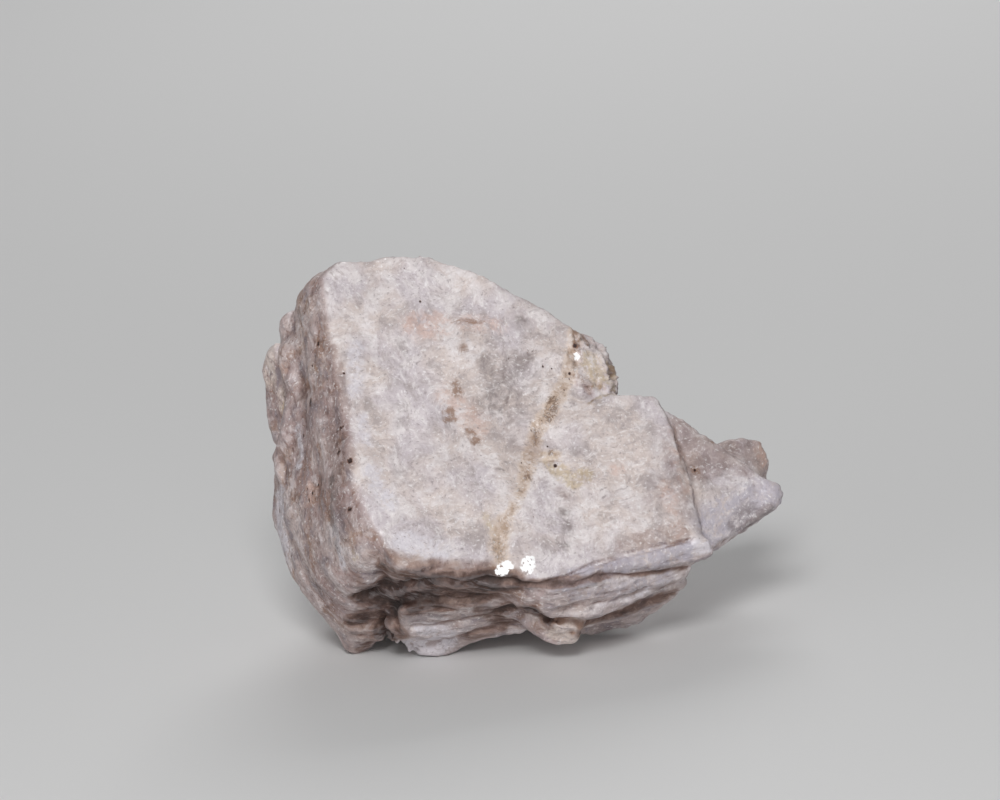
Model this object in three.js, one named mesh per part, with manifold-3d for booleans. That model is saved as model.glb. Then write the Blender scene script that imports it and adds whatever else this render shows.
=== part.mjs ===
// Hand specimen of wollastonite: one broken lump of white, fibrous calcium silicate.
// The mineral splits into leaves. One clean leaf face, the cover, looks up and forwards; the left
// and lower sides show the torn edges of the leaves stacked behind it, and the right end is drawn
// out into a spur with a knob behind. Millimetres, +Z up, standing on z = 0, seen along +Y.
import * as THREE from "three";
import { ConvexGeometry } from "three/addons/geometries/ConvexGeometry.js";
import { ImprovedNoise } from "three/addons/math/ImprovedNoise.js";
import { TessellateModifier } from "three/addons/modifiers/TessellateModifier.js";
import { mergeVertices } from "three/addons/utils/BufferGeometryUtils.js";
import Module from "manifold-3d";

const wasm = await Module();
wasm.setup();

// ---- Driving dimensions ------------------------------------------------------------------
// The leaf frame: "across" runs right along the cover's lower edge, "up" climbs the cover, and
// "deep" goes into the stone, square to the cover. Its origin is the cover's lower left corner.
const COVER_TURN = THREE.MathUtils.degToRad(18); // the cover faces this far right of straight ahead
const COVER_LEAN = THREE.MathUtils.degToRad(42); // and this far above the level
const COVER_CORNER = new THREE.Vector3(-18.55, -21.3, 18);
const WELD = 1e-4; // vertices closer than this are one

// ---- Small tools -------------------------------------------------------------------------
// A closed three.js geometry as a manifold-3d solid, and the way back.
function solidOf(geometry) {
  const bare = new THREE.BufferGeometry();
  bare.setAttribute("position", geometry.getAttribute("position"));
  if (geometry.index) bare.setIndex(geometry.index);
  const merged = mergeVertices(bare, WELD);
  return new wasm.Manifold(
    new wasm.Mesh({
      numProp: 3,
      vertProperties: new Float32Array(merged.attributes.position.array),
      triVerts: new Uint32Array(merged.index.array),
    }),
  );
}

function geometryOf(solid) {
  const mesh = solid.getMesh();
  const geometry = new THREE.BufferGeometry();
  const xyz = new Float32Array(mesh.numVert * 3);
  for (let i = 0; i < mesh.numVert; i++) {
    xyz.set(mesh.vertProperties.subarray(i * mesh.numProp, i * mesh.numProp + 3), i * 3);
  }
  geometry.setAttribute("position", new THREE.BufferAttribute(xyz, 3));
  geometry.setIndex(new THREE.BufferAttribute(new Uint32Array(mesh.triVerts), 1));
  return geometry;
}

// One cleavage block: the convex solid on its corners, each [across, up, deep] in the leaf frame.
function block(...corners) {
  return solidOf(
    new ConvexGeometry(corners.map(([across, up, deep]) => new THREE.Vector3(across, up, -deep))),
  );
}

// ---- The lump, block by block ------------------------------------------------------------
// The stack of leaves behind the cover, in three bundles that end in steps along the top.
function heart() {
  const front = block(
    [0.3, 0.4, 0], [-0.9, 6, 0], [-1, 15, 0], [0.8, 26, 0], [1.9, 37, 0], [2.6, 43.2, 0],
    [5.4, 44.4, 0.3], [8.5, 44.7, 0], [17.6, 44.4, 0], [21.5, 42, 0], [25.3, 38.6, 0],
    [34.6, 29.2, 0], [37, 24, 0], [37.5, 10, 0.3], [37, -4, 0.5],
    [20, -5.2, 0], [15, -4.2, 0], [5.4, -1, 0],
    [2.4, 44.6, 6], [16, 43, 11], [25, 37.5, 10], [34.8, 29, 7], [38, 22, 11],
    [40, 4, 12], [38, -4, 9], [-1, 40, 11], [-1, 8, 8], [3.4, -0.2, 4.4], [14, -3.2, 4.4],
    [3, 0.4, 9.4], [15, -2.8, 9], [19, -4, 8],
  );
  const middle = block(
    [-2.2, 38, 11], [4, 41.5, 11], [16, 40.5, 12], [27, 34, 12], [35, 26, 12],
    [40.5, 14, 12], [41, 4, 13], [36, -5, 12], [14, -3, 10], [2, 0.3, 9], [-3.6, 8, 12],
    [-2, 36, 22], [5, 37.5, 22], [17, 35.5, 21], [27, 29, 22], [35, 20, 23],
    [39, 9, 22], [34, -2, 21], [18, -3.5, 20], [4, 1, 22], [-4, 10, 22],
  );
  const rear = block(
    [-1, 32, 20], [6, 34, 22], [17, 31.5, 21], [28, 25, 22], [34, 12, 22], [33, 2, 22],
    [20, 0, 20], [4, 3, 22], [-3.4, 12, 23], [-2, 26, 23],
    [1, 24, 31], [8, 27, 31], [20, 22, 29], [30, 13, 30],
    [0, 12, 32], [7, 16, 36], [16, 13, 36.5], [26, 9, 34], [5, 7, 33],
  );
  const heel = block(
    [8, 6.4, 34.6], [15.7, 7.6, 36.8], [24, 6.2, 35.4], [29.3, 5, 34], [33, 3.2, 31],
    [12, 14, 35], [26, 13, 32], [33, 10, 28], [18, 3, 26], [8, 4, 28],
  );
  return front.add(middle).add(rear).add(heel);
}

// The left side, where the leaves' edges slope outwards and back to the widest line of the stone.
function flank() {
  const shoulder = block(
    [0.9, 26, 1.5], [1.9, 37, 1], [2.6, 43, 0.8], [1.5, 44, 5.5], [-1, 43.4, 11],
    [-2.2, 41, 13], [-2, 34, 13], [-2.4, 27, 13], [12, 38, 20], [14, 28, 16],
  );
  const lump = block(
    [-2.4, 42, 14.5], [-3.3, 41, 17], [-3.9, 39.4, 20], [-3.9, 37, 21.6], [-4, 33.5, 22.6],
    [-4.4, 29.6, 22], [-2.2, 31, 15], [-2, 38, 14.5], [8, 40, 22], [8, 30, 27], [4, 36, 15],
  );
  const hip = block(
    [0.3, 2, 2.2], [-1.7, 6.5, 1.2], [-1.5, 15, 1.2], [0.6, 27, 1.2],
    [-2.3, 3.2, 3.4], [-2.7, 12.5, 3.2], [-1.2, 29, 6], [-4.6, 3.8, 10], [-5, 11, 8.5],
    [-4.2, 19, 10], [-6.3, 11.5, 15], [-2.9, 32, 14], [-5.2, 26, 22.5], [-5.2, 21.5, 18],
    [-6.5, 20.3, 24], [-6, 11.6, 24], [-3.2, 5.6, 24.2], [-3, 1.8, 12],
    [10, 24, 28], [8, 6, 28], [2, 2, 28],
  );
  return shoulder.add(lump).add(hip);
}

// The torn ledges under the cover and the feet that the stone stands on.
function ledges() {
  const leftFoot = block(
    [-2.8, 5, 24.2], [-1.7, 2, 22.4], [-1.1, 0.3, 26.4], [-0.2, -0.3, 27.4], [1, -0.4, 26.6],
    [4.2, -0.4, 23.4], [2, 1.4, 12], [-2.4, 2.2, 13], [6, 6, 26], [2, 8, 33],
  );
  const frontFoot = block(
    [1.6, -1.6, 9.6], [6, -2.3, 8.6], [19.5, -4.2, 6.6], [20.5, -6, 14], [14, -5.8, 17.6],
    [9.8, -5.6, 20.6], [7, -4.8, 21.2], [6.3, -4, 20], [5.4, -1.6, 21.2],
    [10, 2, 26], [20, 0, 22], [12, 1, 11],
  );
  const rod = block(
    [19.6, -5.6, 0.4], [20, -6.2, 1.6], [43.2, -4.4, -0.7], [44.4, -5.4, 0], [44.4, -6.5, 1.4],
    [43.4, -7, 2.2], [30, -6.6, 1.2], [40, 0, 6], [20, -2, 5],
  );
  const rightLedge = block(
    [18, -5, 3], [20.5, -6.4, 2.2], [30, -7.2, 2], [42.6, -6.6, 2.8], [42, -7.8, 5],
    [36, -9.2, 5.6], [28, -9.8, 6], [21.5, -8, 6.5], [18, -6, 6], [16.5, -3.5, 9], [24, 0, 14], [40, 0, 12],
  );
  const thirdFoot = block(
    [18, -6, 10], [20.2, -8.2, 11], [22.6, -10.1, 11], [24.2, -10.5, 11], [26.4, -8, 8],
    [28, -6, 14], [20, -2, 8], [22, -4, 16],
  );
  const lowLedge = block(
    [24, -8, 12], [27, -8.1, 7], [34, -8.3, 10], [36.4, -7.9, 9], [42.2, -6.5, 6.8],
    [42, -5, 13], [36, -8.7, 17.8], [29, -7, 18], [24, 0, 20], [38, 0, 16],
  );
  return leftFoot.add(frontFoot).add(rod).add(rightLedge).add(thirdFoot).add(lowLedge);
}

// The raised slab right of the seam, the crust above it, the spur and the knob behind the spur.
function rightEnd() {
  const slab = block(
    [34.2, 19.4, -1], [43, 17.8, -1], [44, 8.3, -0.8], [43.6, 0, -0.4], [43.2, -4.3, -0.2],
    [35.3, -4.4, -0.3], [28, -5.4, -0.2], [20, -5.9, 0.2], [16, -4.8, 1],
    [19.5, 4, 0.5], [26, 13, -0.4],
    [34, 18, 6], [42.4, 16.2, 3], [43.6, 8, 3], [43, -3, 5], [20, -4, 6],
  );
  const crust = block(
    [34.4, 29.5, 0.4], [37.6, 28.9, 3], [39.3, 27.6, 4], [39.8, 25.2, 5], [39.9, 23.2, 5],
    [39.5, 20.4, 5], [35.4, 19.2, 1.5], [33, 24, -0.2], [34, 28, 10], [38, 22, 12], [32, 18, 8],
  );
  const spur = block(
    [43.4, 16, 1.6], [47.3, 10.4, 1], [51.1, 7.1, 2], [54, 6.2, 2.8], [56.6, 2.4, 2.8],
    [57.6, 0.8, 3], [56.6, -0.6, 3.4], [54.4, -1.1, 3.8], [50, -0.7, 3.6], [44.9, -5.6, 3], [43, -2, 1.4],
    [43, 6, 1.2], [42, 16, 6], [50, 6, 8], [55, 2, 6], [44, -4, 9],
  );
  const knob = block(
    [52, 13.8, 9], [56, 14, 9.2], [58.6, 13.2, 9.6], [59.8, 10.2, 11], [59.4, 8.4, 12],
    [58.2, 6.8, 14.4], [55, 3.6, 15.5], [40, 2, 14], [42, 12, 12], [46, 6, 6],
    [57, 10, 16], [50, 12, 18], [44, 8, 20],
  );
  return slab.add(crust).add(spur).add(knob);
}

// ---- Leaves ------------------------------------------------------------------------------
// Each leaf slips a little in its own plane, which leaves ledges all round the torn edges.
const LEAF_COUNT = 11;
const FIRST_LEAF = 2.2; // depth of the cover leaf's underside, which stays put
const LEAF_THICKNESS = [1.8, 4.2];
const LEAF_SLIP = 0.55; // the most that a leaf slips each way
const FAR = 200; // beyond the stone on every side
const LEAF_BOND = 0.1; // each leaf runs this far into the one above, so that they join
const LEAF_SEED = 5;

function plate(top, bottom) {
  const box = new THREE.BoxGeometry(FAR, FAR, bottom - top);
  return solidOf(box.translate(0, 0, -(top + bottom) / 2));
}

function slipLeaves(stack) {
  const { seededRandom, lerp } = THREE.MathUtils;
  seededRandom(LEAF_SEED);
  let whole = stack.intersect(plate(-FAR, FIRST_LEAF));
  let top = FIRST_LEAF;
  for (let leaf = 0; leaf < LEAF_COUNT; leaf++) {
    const thickness = lerp(...LEAF_THICKNESS, seededRandom());
    const across = lerp(-LEAF_SLIP, LEAF_SLIP, seededRandom());
    const up = lerp(-LEAF_SLIP, LEAF_SLIP, seededRandom());
    const bottom = leaf === LEAF_COUNT - 1 ? FAR : top + thickness;
    const slice = geometryOf(stack.intersect(plate(top - LEAF_BOND, bottom)));
    whole = whole.add(solidOf(slice.translate(across, up, 0)));
    top = bottom;
  }
  return whole;
}

// ---- Weathering --------------------------------------------------------------------------
// Perlin noise drawn as a slow drift of space: straight edges waver and flat faces undulate.
const noise = new ImprovedNoise();
const DRIFTS = [
  { span: 17, reach: 1.0 },
  { span: 7, reach: 0.5 },
];
const DRIFT_SEED = 45.7;

function weather(geometry) {
  const at = geometry.getAttribute("position");
  const p = new THREE.Vector3();
  for (let i = 0; i < at.count; i++) {
    p.fromBufferAttribute(at, i);
    const moved = p.clone();
    for (const { span, reach } of DRIFTS) {
      const [x, y, z] = [p.x / span, p.y / span, p.z / span];
      moved.x += reach * noise.noise(x + DRIFT_SEED, y, z);
      moved.y += reach * noise.noise(x, y + DRIFT_SEED, z);
      moved.z += reach * noise.noise(x, y, z + DRIFT_SEED);
    }
    at.setXYZ(i, moved.x, moved.y, moved.z);
  }
  return geometry;
}

// ---- Assembly ----------------------------------------------------------------------------
const MAX_EDGE = 5;
const SPLITS = 14; // enough halvings for the longest edge
const FLOOR_BLOCK = 200; // side of the block that trims the feet flat

function leafToRow() {
  const across = new THREE.Vector3(Math.cos(COVER_TURN), Math.sin(COVER_TURN), 0);
  const out = new THREE.Vector3(
    Math.sin(COVER_TURN) * Math.cos(COVER_LEAN),
    -Math.cos(COVER_TURN) * Math.cos(COVER_LEAN),
    Math.sin(COVER_LEAN),
  );
  const up = out.clone().cross(across);
  return new THREE.Matrix4().makeBasis(across, up, out).setPosition(COVER_CORNER);
}

function stoneGeometry() {
  const stack = slipLeaves(heart().add(flank()).add(ledges()).add(rightEnd()));
  const fine = new TessellateModifier(MAX_EDGE, SPLITS).modify(geometryOf(stack));
  const rough = solidOf(weather(fine).applyMatrix4(leafToRow()));
  const floor = new THREE.BoxGeometry(FLOOR_BLOCK, FLOOR_BLOCK, FLOOR_BLOCK);
  floor.translate(0, 0, -FLOOR_BLOCK / 2);
  return geometryOf(rough.subtract(solidOf(floor)));
}

const stone = new THREE.Mesh(
  stoneGeometry(),
  new THREE.MeshStandardMaterial({ color: 0xd9cfcb, roughness: 0.7, metalness: 0 }),
);
stone.name = "stone";

const specimen = new THREE.Group();
specimen.add(stone);
export default specimen;
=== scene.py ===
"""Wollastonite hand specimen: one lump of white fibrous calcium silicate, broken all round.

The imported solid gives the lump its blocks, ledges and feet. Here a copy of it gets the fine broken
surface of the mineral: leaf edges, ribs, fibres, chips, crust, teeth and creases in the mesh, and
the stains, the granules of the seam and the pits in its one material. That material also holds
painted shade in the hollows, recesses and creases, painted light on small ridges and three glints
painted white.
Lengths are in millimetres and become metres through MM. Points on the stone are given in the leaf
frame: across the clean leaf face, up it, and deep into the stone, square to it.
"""
import math

import bpy
import numpy as np
from mathutils import Matrix, Vector, noise


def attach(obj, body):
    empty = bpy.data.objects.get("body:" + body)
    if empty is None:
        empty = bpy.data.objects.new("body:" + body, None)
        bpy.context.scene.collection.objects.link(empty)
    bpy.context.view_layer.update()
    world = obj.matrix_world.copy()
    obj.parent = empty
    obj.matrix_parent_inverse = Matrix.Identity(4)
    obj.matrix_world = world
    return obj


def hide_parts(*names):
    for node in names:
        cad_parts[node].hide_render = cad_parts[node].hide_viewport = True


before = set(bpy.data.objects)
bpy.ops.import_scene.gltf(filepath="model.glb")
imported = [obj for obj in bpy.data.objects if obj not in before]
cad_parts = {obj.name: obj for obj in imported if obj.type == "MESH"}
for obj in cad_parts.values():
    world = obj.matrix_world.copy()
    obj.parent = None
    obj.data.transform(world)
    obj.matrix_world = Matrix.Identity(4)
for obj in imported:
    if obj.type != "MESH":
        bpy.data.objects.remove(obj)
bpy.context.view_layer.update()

MM = 0.001

# ---- The leaf frame ----------------------------------------------------------------------
COVER_TURN = math.radians(18)
COVER_LEAN = math.radians(42)
COVER_CORNER = Vector((-18.55, -21.3, 18.0)) * MM


def leaf_axes():
    """Rows: across the cover, up it and out of it, as unit vectors in the row frame."""
    across = Vector((math.cos(COVER_TURN), math.sin(COVER_TURN), 0))
    out = Vector((
        math.sin(COVER_TURN) * math.cos(COVER_LEAN),
        -math.cos(COVER_TURN) * math.cos(COVER_LEAN),
        math.sin(COVER_LEAN),
    ))
    return Matrix((across, out.cross(across), out))


AXES = leaf_axes()
LEAF_TURN = AXES.transposed().to_euler("XYZ")
ACROSS, OUT = 0, 2

# ---- What is carved and stained, in the leaf frame ---------------------------------------
SEAM = ((34.7, 28.8, 0), (33.1, 25.8, 0), (32, 22.9, 0), (28.9, 19.2, 0), (25.5, 16.1, 0),
        (23.7, 13.2, 0), (21.8, 9.5, 0), (19.5, 6.1, 0), (16.8, 3.4, 0), (15.3, 0.9, 0),
        (14.8, -1.7, 0), (14.9, -4.2, 0))
SPUR_CREASE = (
    (43.4, 16, -1), (44.3, 12.5, 0.5), (43.7, 8.5, -0.5), (43.2, 3, -0.7), (42.9, -3.9, -0.6),
)
UPPER_RECESS = (
    (-0.4, 2.1, 12.8), (3, 0, 7.4), (6, -2, 2.5), (9.8, -3.4, 1.8), (13, -4.3, 1.2),
    (15.4, -5, 1),
)
LOWER_RECESS = ((-1, 1.2, 18.8), (3.1, 0.8, 17), (4.8, -1.2, 10.8), (9.6, -2.6, 9), (14.5, -4.4, 6))
LEDGE_CREASE = (
    (15.7, -4.8, 10.2), (17.5, -5.4, 7.7), (19, -7.3, 5.8), (22.5, -7.9, 9), (25.6, -9.4, 9.5),
)
ROD_TOP = (
    (20, -6, 0.4), (23.6, -5.5, 0.2), (26.6, -4.8, 0), (30.9, -4.3, -0.3), (35.9, -4.1, -0.3),
    (40.9, -3.9, -0.4),
)
ROD_FOOT = (
    (16.8, -4.9, 1.4), (18.1, -5.6, 0.6), (22.2, -6, 0.9), (27.8, -6.2, 0.9),
    (33.8, -6.5, 2.3), (40.6, -6.5, 3.3),
)
LOW_CREASE = ((25, -9.5, 9.3), (28.5, -9.2, 10.2), (34.8, -8.6, 9.2), (39.6, -8, 8.6))

LEFT_RIM = ((0.5, -1, 1.5), (-1, 5.8, 1.5), (-1.5, 14.7, 1.5), (-0.5, 20, 1))
HIGH_RIM = ((-0.5, 20, 1), (0.5, 26, 0.5), (1.5, 38, 0.5), (4, 43.5, 0.5))
LOW_RIM = ((0, 0, 0.3), (5.4, -0.9, 0.3), (10, -2.5, 0.3), (14.9, -4.1, 0.3))
FOOT_RIM = ((4.6, -1.2, 15), (5, -1.2, 10), (12, -2.6, 8.5))
CRUST = ((34.5, 25.5, 0), (37.5, 25.5, 1.5), (39.5, 26, 4), (38.7, 22, 3), (38, 21, 1), (35.5, 21, 0))
LONG_LINE = ((24.5, 11.4, 0), (28.5, 10, 0), (32.5, 9.3, 0))
SHORT_LINE = ((5.3, 9, 0), (10.5, 8.6, 0), (15.7, 7.7, 0))
UPRIGHT_LINE = ((29.9, 4.2, 0), (28.8, 0, 0))
RIGHT_RIM = ((37.5, 17, 0), (43, 16.6, 0), (43.8, 8.3, -0.5))

FOOT_GROOVE = ((5, -3.3, 14.3), (10.6, -4, 13.1), (16.1, -5, 10.5), (18.5, -6.5, 6.5))
TOE_GROOVE = ((8.1, -4.5, 18.7), (12.8, -5.3, 15.3), (18.6, -5.6, 13.1))
BELLY_GROOVE = ((22.3, -8.3, 4.4), (29.3, -8.4, 4.6), (35.2, -8.2, 5), (40.6, -7, 6.5))
FIBRE_BAND = ((1.7, 1.4, 13.4), (5.6, -1.2, 8.5), (10.6, -2.7, 6), (13.8, -4, 3))
FLAKE_GAP = ((-1.2, 38, 10.5), (-2.2, 34, 12), (-3, 30, 13.5), (-3.8, 26.5, 16))
FOOT_POCKET = ((22.7, -8.3, 9.1), (24.5, -8.8, 9.1), (25.6, -9.5, 9.2))
HEEL_SIDE = ((1.6, -1.1, 24.2), (3.8, -0.9, 23.8))
LIP = ((4, -1.4, 0), (9.5, -2.3, 0), (13.6, -3.4, 0))
GAP_WALL = ((3.9, -0.6, 16.5), (4.4, -1.6, 18.5))
BELLY_EDGE = ((29.5, -9, 14.5), (33.1, -9, 16.3), (36.6, -8.8, 15.4))
SPUR_EDGE = ((44.5, -5.8, 1.5), (48, -3.1, 5.5), (50.5, -2.3, 4.9), (53, -1.3, 3.5), (55, 0.2, 2.6))
TEETH = ((2.8, -1.8, 18.5), (3.8, -3, 19.1), (4.6, -3.5, 19.5), (5.8, -3.8, 20.8))
FLANK_NOTCH = ((-4.4, 26.5, 18.7), (-4.7, 24, 18.5))
UPPER_FLANK = ((-0.2, 42.8, 10), (-1.4, 41, 11))
SPUR_NOSE = ((55.5, 1.5, 2.4), (57, 2, 3))
RECESS_MOUTH = ((0.1, 1.4, 2.6), (2.5, -0.6, 2.4), (6, -1.9, 2))
TOE_TOP = ((13.2, -4.5, 9.2), (16.6, -5.2, 13))

# Grooves: path, half width and depth in millimetres. A negative depth fills.
BROAD_CUTS = (
    (UPPER_RECESS, 1.7, 1.7),
    (LOWER_RECESS[2:], 1.3, 0.5),
    (FOOT_GROOVE, 1.2, 0.4),
    (TOE_GROOVE, 1.1, 0.5),
    (BELLY_GROOVE, 1.4, 0.4),
    (SPUR_CREASE, 1.1, 0.5),
    (ROD_FOOT, 0.9, 0.4),
    (LEDGE_CREASE[1:4], 1.2, 0.6),
    (LOW_CREASE, 1.4, 0.9),
    (HEEL_SIDE, 2.2, 1.3),
    (LIP, 1.4, 0.9),
    (ROD_TOP, 0.8, 0.4),
    (GAP_WALL, 2.4, -1.5),
    (BELLY_EDGE, 3.2, 1.1),
    (FLAKE_GAP, 2.8, -1.5),
    (FOOT_POCKET, 2.4, -2.2),
    (SPUR_NOSE, 3.0, -0.9),
    (FLANK_NOTCH, 2.6, -1.3),
    (UPPER_FLANK, 2.4, -0.6),
)
FINE_CUTS = (
    (SEAM, 1.6, 0.12),
    (LONG_LINE, 0.45, 0.2),
    (SHORT_LINE, 0.45, 0.12),
    (UPRIGHT_LINE, 0.45, 0.12),
    (UPPER_RECESS, 0.8, 0.6),
    (LEDGE_CREASE[:4], 0.8, 0.4),
    (FOOT_GROOVE, 0.6, 0.3),
    (TOE_GROOVE, 0.6, 0.25),
    (BELLY_GROOVE, 0.6, 0.15),
    (SPUR_CREASE, 0.7, 0.3),
    (ROD_TOP, 0.55, 0.55),
    (ROD_FOOT, 0.5, 0.35),
    (LOW_CREASE, 0.7, 0.4),
)

# Rims rounded by wear: path, half width in millimetres, rounds of smoothing.
WORN_RIMS = (
    (LEFT_RIM, 4.5, 40),
    (HIGH_RIM, 2.5, 12),
    (RIGHT_RIM, 1.5, 8),
    (LOW_RIM, 2.8, 40),
    (FOOT_RIM, 1.8, 8),
)
WORN_FLAKES = (
    (FLAKE_GAP, 3.5, 20),
    (FLANK_NOTCH, 3, 12),
)

# Relief in the mesh: name, size of its noise (across, up, out) and height in millimetres, the
# weights it works on, kind of noise. Real fibres are too fine for a mesh, so the fibres are
# modelled as bundles of them, half a millimetre to a millimetre thick.
SMOOTH_NOISE = "IMPROVED_PERLIN"
STEPS = "CELL_NOISE"
LEAF_RELIEFS = (
    ("swell", (8, 8, 8), 1.0, "", SMOOTH_NOISE),
    ("thick leaves", (11, 9, 2.6), 0.3, "torn", STEPS),
    ("ribs", (8, 4.5, 2.2), 0.8, "torn", SMOOTH_NOISE),
)
SPUR_RELIEFS = (
    ("spur edge", (1.3, 1.3, 1.3), 1.1, "spur edge", SMOOTH_NOISE),
)
CRUST_RELIEFS = (
    ("crust lumps", (1.7, 1.7, 1.7), 1.0, "crust", SMOOTH_NOISE),
    ("crust plates", (0.9, 2.6, 2.0), 1.2, "crust", STEPS),
    ("crust crumbs", (0.7, 0.7, 0.7), 0.6, "crust", SMOOTH_NOISE),
)
FINE_RELIEFS = (
    ("dents", (3.2, 3.2, 3.2), 0.25, "", SMOOTH_NOISE),
    ("thin leaves", (5, 4, 1.1), 0.16, "ledges", STEPS),
    ("fibres", (6, 1.4, 0.9), 0.38, "ledges", SMOOTH_NOISE),
    ("chips", (2.4, 1.2, 1.2), 0.3, "ledges", "VORONOI_F1"),
    ("thin fibres", (4.5, 0.55, 0.55), 0.3, "ledges", SMOOTH_NOISE),
    ("grain", (1.1, 1.1, 1.1), 0.1, "", SMOOTH_NOISE),
)
TOOTH_RELIEFS = (
    ("teeth", (0.7, 2.5, 1.6), 1.4, "teeth", STEPS),
)
SPUR_EDGE_REACH = 2.4
CRUST_REACH = 4.5
TEETH_REACH = 1.9


# ---- Small tools -------------------------------------------------------------------------
WEIGHT_LEVELS = 25

# A fade is full over the inner fifth of its reach, and on a worn rim a little further out.
FULL_CORE = 1.25
RIM_CORE = 1.3

# How uneven a groove is: cells of its noise per millimetre (across, up, deep), share of the half
# width that it changes, share of the depth that is always there and share that it changes.
GROOVE_NOISE = (0.35, 0.7, 0.7)
GROOVE_SWAY = 0.6
GROOVE_LEAST = 0.8
GROOVE_DEPTH_SWAY = 0.6


def select_only(piece):
    bpy.ops.object.select_all(action="DESELECT")
    piece.select_set(True)
    bpy.context.view_layer.objects.active = piece


def apply(piece, kind, **settings):
    """Adds a modifier, sets it and applies it."""
    select_only(piece)
    modifier = piece.modifiers.new(kind.title(), kind)
    for name, value in settings.items():
        setattr(modifier, name, value)
    bpy.ops.object.modifier_apply(modifier=modifier.name)


def smooth(piece, rounds, where=""):
    apply(piece, "SMOOTH", factor=0.5, iterations=rounds, vertex_group=where)


def read(piece, what):
    """The vertices' places or normals as an array."""
    out = np.empty(len(piece.data.vertices) * 3, np.float32)
    piece.data.vertices.foreach_get(what, out)
    return out.reshape(-1, 3).astype(float)


def leaf_points(piece):
    """(across, up, deep) of each vertex in millimetres."""
    local = (read(piece, "co") - np.array(COVER_CORNER)) @ np.array(AXES).T / MM
    return local * np.array([1, 1, -1])


def smoothstep(x):
    x = np.clip(x, 0, 1)
    return x * x * (3 - 2 * x)


def fade(gap, reach, core=1.0):
    """1 where the gap is 0, falling smoothly to 0 at the reach; a core above 1 keeps it full longer."""
    return smoothstep(core * (1 - gap / reach))


def distance_to(points, path):
    """Each point's distance from a path of straight stretches, or from a single spot."""
    path = [np.array(spot, float) for spot in path]
    nearest = np.linalg.norm(points - path[0], axis=1)
    for start, end in zip(path, path[1:]):
        run = end - start
        along = np.clip((points - start) @ run / (run @ run), 0, 1)
        gap = np.linalg.norm(points - start - along[:, None] * run, axis=1)
        nearest = np.minimum(nearest, gap)
    return nearest


def near(piece, path, reach):
    """1 along a path, falling to 0 at the reach."""
    return fade(distance_to(leaf_points(piece), path), reach, FULL_CORE)


def weigh(piece, name, weights):
    """A vertex group with the given weight on each vertex."""
    if name in piece.vertex_groups:
        piece.vertex_groups.remove(piece.vertex_groups[name])
    made = piece.vertex_groups.new(name=name)
    levels = np.round(np.clip(weights, 0, 1) * WEIGHT_LEVELS).astype(int)
    for level in range(1, WEIGHT_LEVELS + 1):
        made.add(np.flatnonzero(levels == level).tolist(), level / WEIGHT_LEVELS, "REPLACE")


def raise_reliefs(piece, reliefs):
    """Raises and lowers the surface by noises that lie in the leaf frame."""
    for name, size, height, where, basis in reliefs:
        texture = bpy.data.textures.new(name, "CLOUDS")
        texture.noise_basis = basis
        texture.noise_depth = 1
        texture.noise_scale = 1.0
        holder = bpy.data.objects.new(name, None)
        bpy.context.scene.collection.objects.link(holder)
        holder.location = COVER_CORNER
        holder.rotation_euler = LEAF_TURN
        holder.scale = [length * MM for length in size]
        bpy.context.view_layer.update()
        apply(piece, "DISPLACE", texture=texture, texture_coords="OBJECT",
              texture_coords_object=holder, strength=height * MM, mid_level=0.5, vertex_group=where)
        bpy.data.objects.remove(holder)
        bpy.data.textures.remove(texture)


def cut(piece, cuts):
    """Carves uneven grooves along the paths, and fills where the depth is negative."""
    points = leaf_points(piece)
    uneven = np.array([noise.noise(Vector(point)) for point in points * GROOVE_NOISE])
    depth_share = GROOVE_LEAST + GROOVE_DEPTH_SWAY * uneven
    for path, half_width, depth in cuts:
        reach = half_width * (1 + GROOVE_SWAY * uneven)
        weigh(piece, "cut", fade(distance_to(points, path), reach) * depth_share)
        apply(piece, "DISPLACE", strength=-depth * MM, mid_level=0, vertex_group="cut")


def wear(piece, rims):
    """Rounds the rims along the paths."""
    points = leaf_points(piece)
    for path, half_width, rounds in rims:
        weigh(piece, "worn", fade(distance_to(points, path), half_width, RIM_CORE))
        smooth(piece, rounds, "worn")


# ---- The lump ----------------------------------------------------------------------------
# Vertices this near each other are one; the size of each remesh's voxels; in millimetres.
MERGE_GAP = 0.02
BROAD_VOXEL = 0.45
FINE_VOXEL = 0.31
# Rounds of smoothing after each remesh and on the torn edges.
BROAD_ROUNDS = 4
TORN_ROUNDS = 14
FINE_ROUNDS = 2
# Share of the faces left at the end.
KEPT_FACES = 0.68

# How a face must stand to count, as the cosine where the share starts and its run to 1.
TORN_FROM, TORN_RUN = 0.85, 0.35
BACK_FROM, BACK_RUN = -0.25, 0.4
FLANK_FROM, FLANK_RUN = 0.25, 0.5

# The flank, broken across the fibres, goes without this share of the fine relief.
FLANK_CALM = 0.6
# The leaf faces behind go without this share of the torn edges' colours.
BACK_CLEAN = 0.7


def facing(lump, axis):
    """How squarely each vertex faces along an axis of the leaf frame, from -1 to 1."""
    return read(lump, "normal") @ np.array(AXES[axis])


def torn_share(lump):
    """1 on the leaves' torn edges, where the surface runs steeply to the leaf faces, and behind."""
    return smoothstep((TORN_FROM - facing(lump, OUT)) / TORN_RUN)


def back_share(lump):
    """1 on the leaf faces that look away from the cover, which are cleaner than the torn edges."""
    return smoothstep((BACK_FROM - facing(lump, OUT)) / BACK_RUN)


def flank_share(lump):
    """1 on the left flank, broken across the fibres."""
    return smoothstep((-facing(lump, ACROSS) - FLANK_FROM) / FLANK_RUN)


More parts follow.
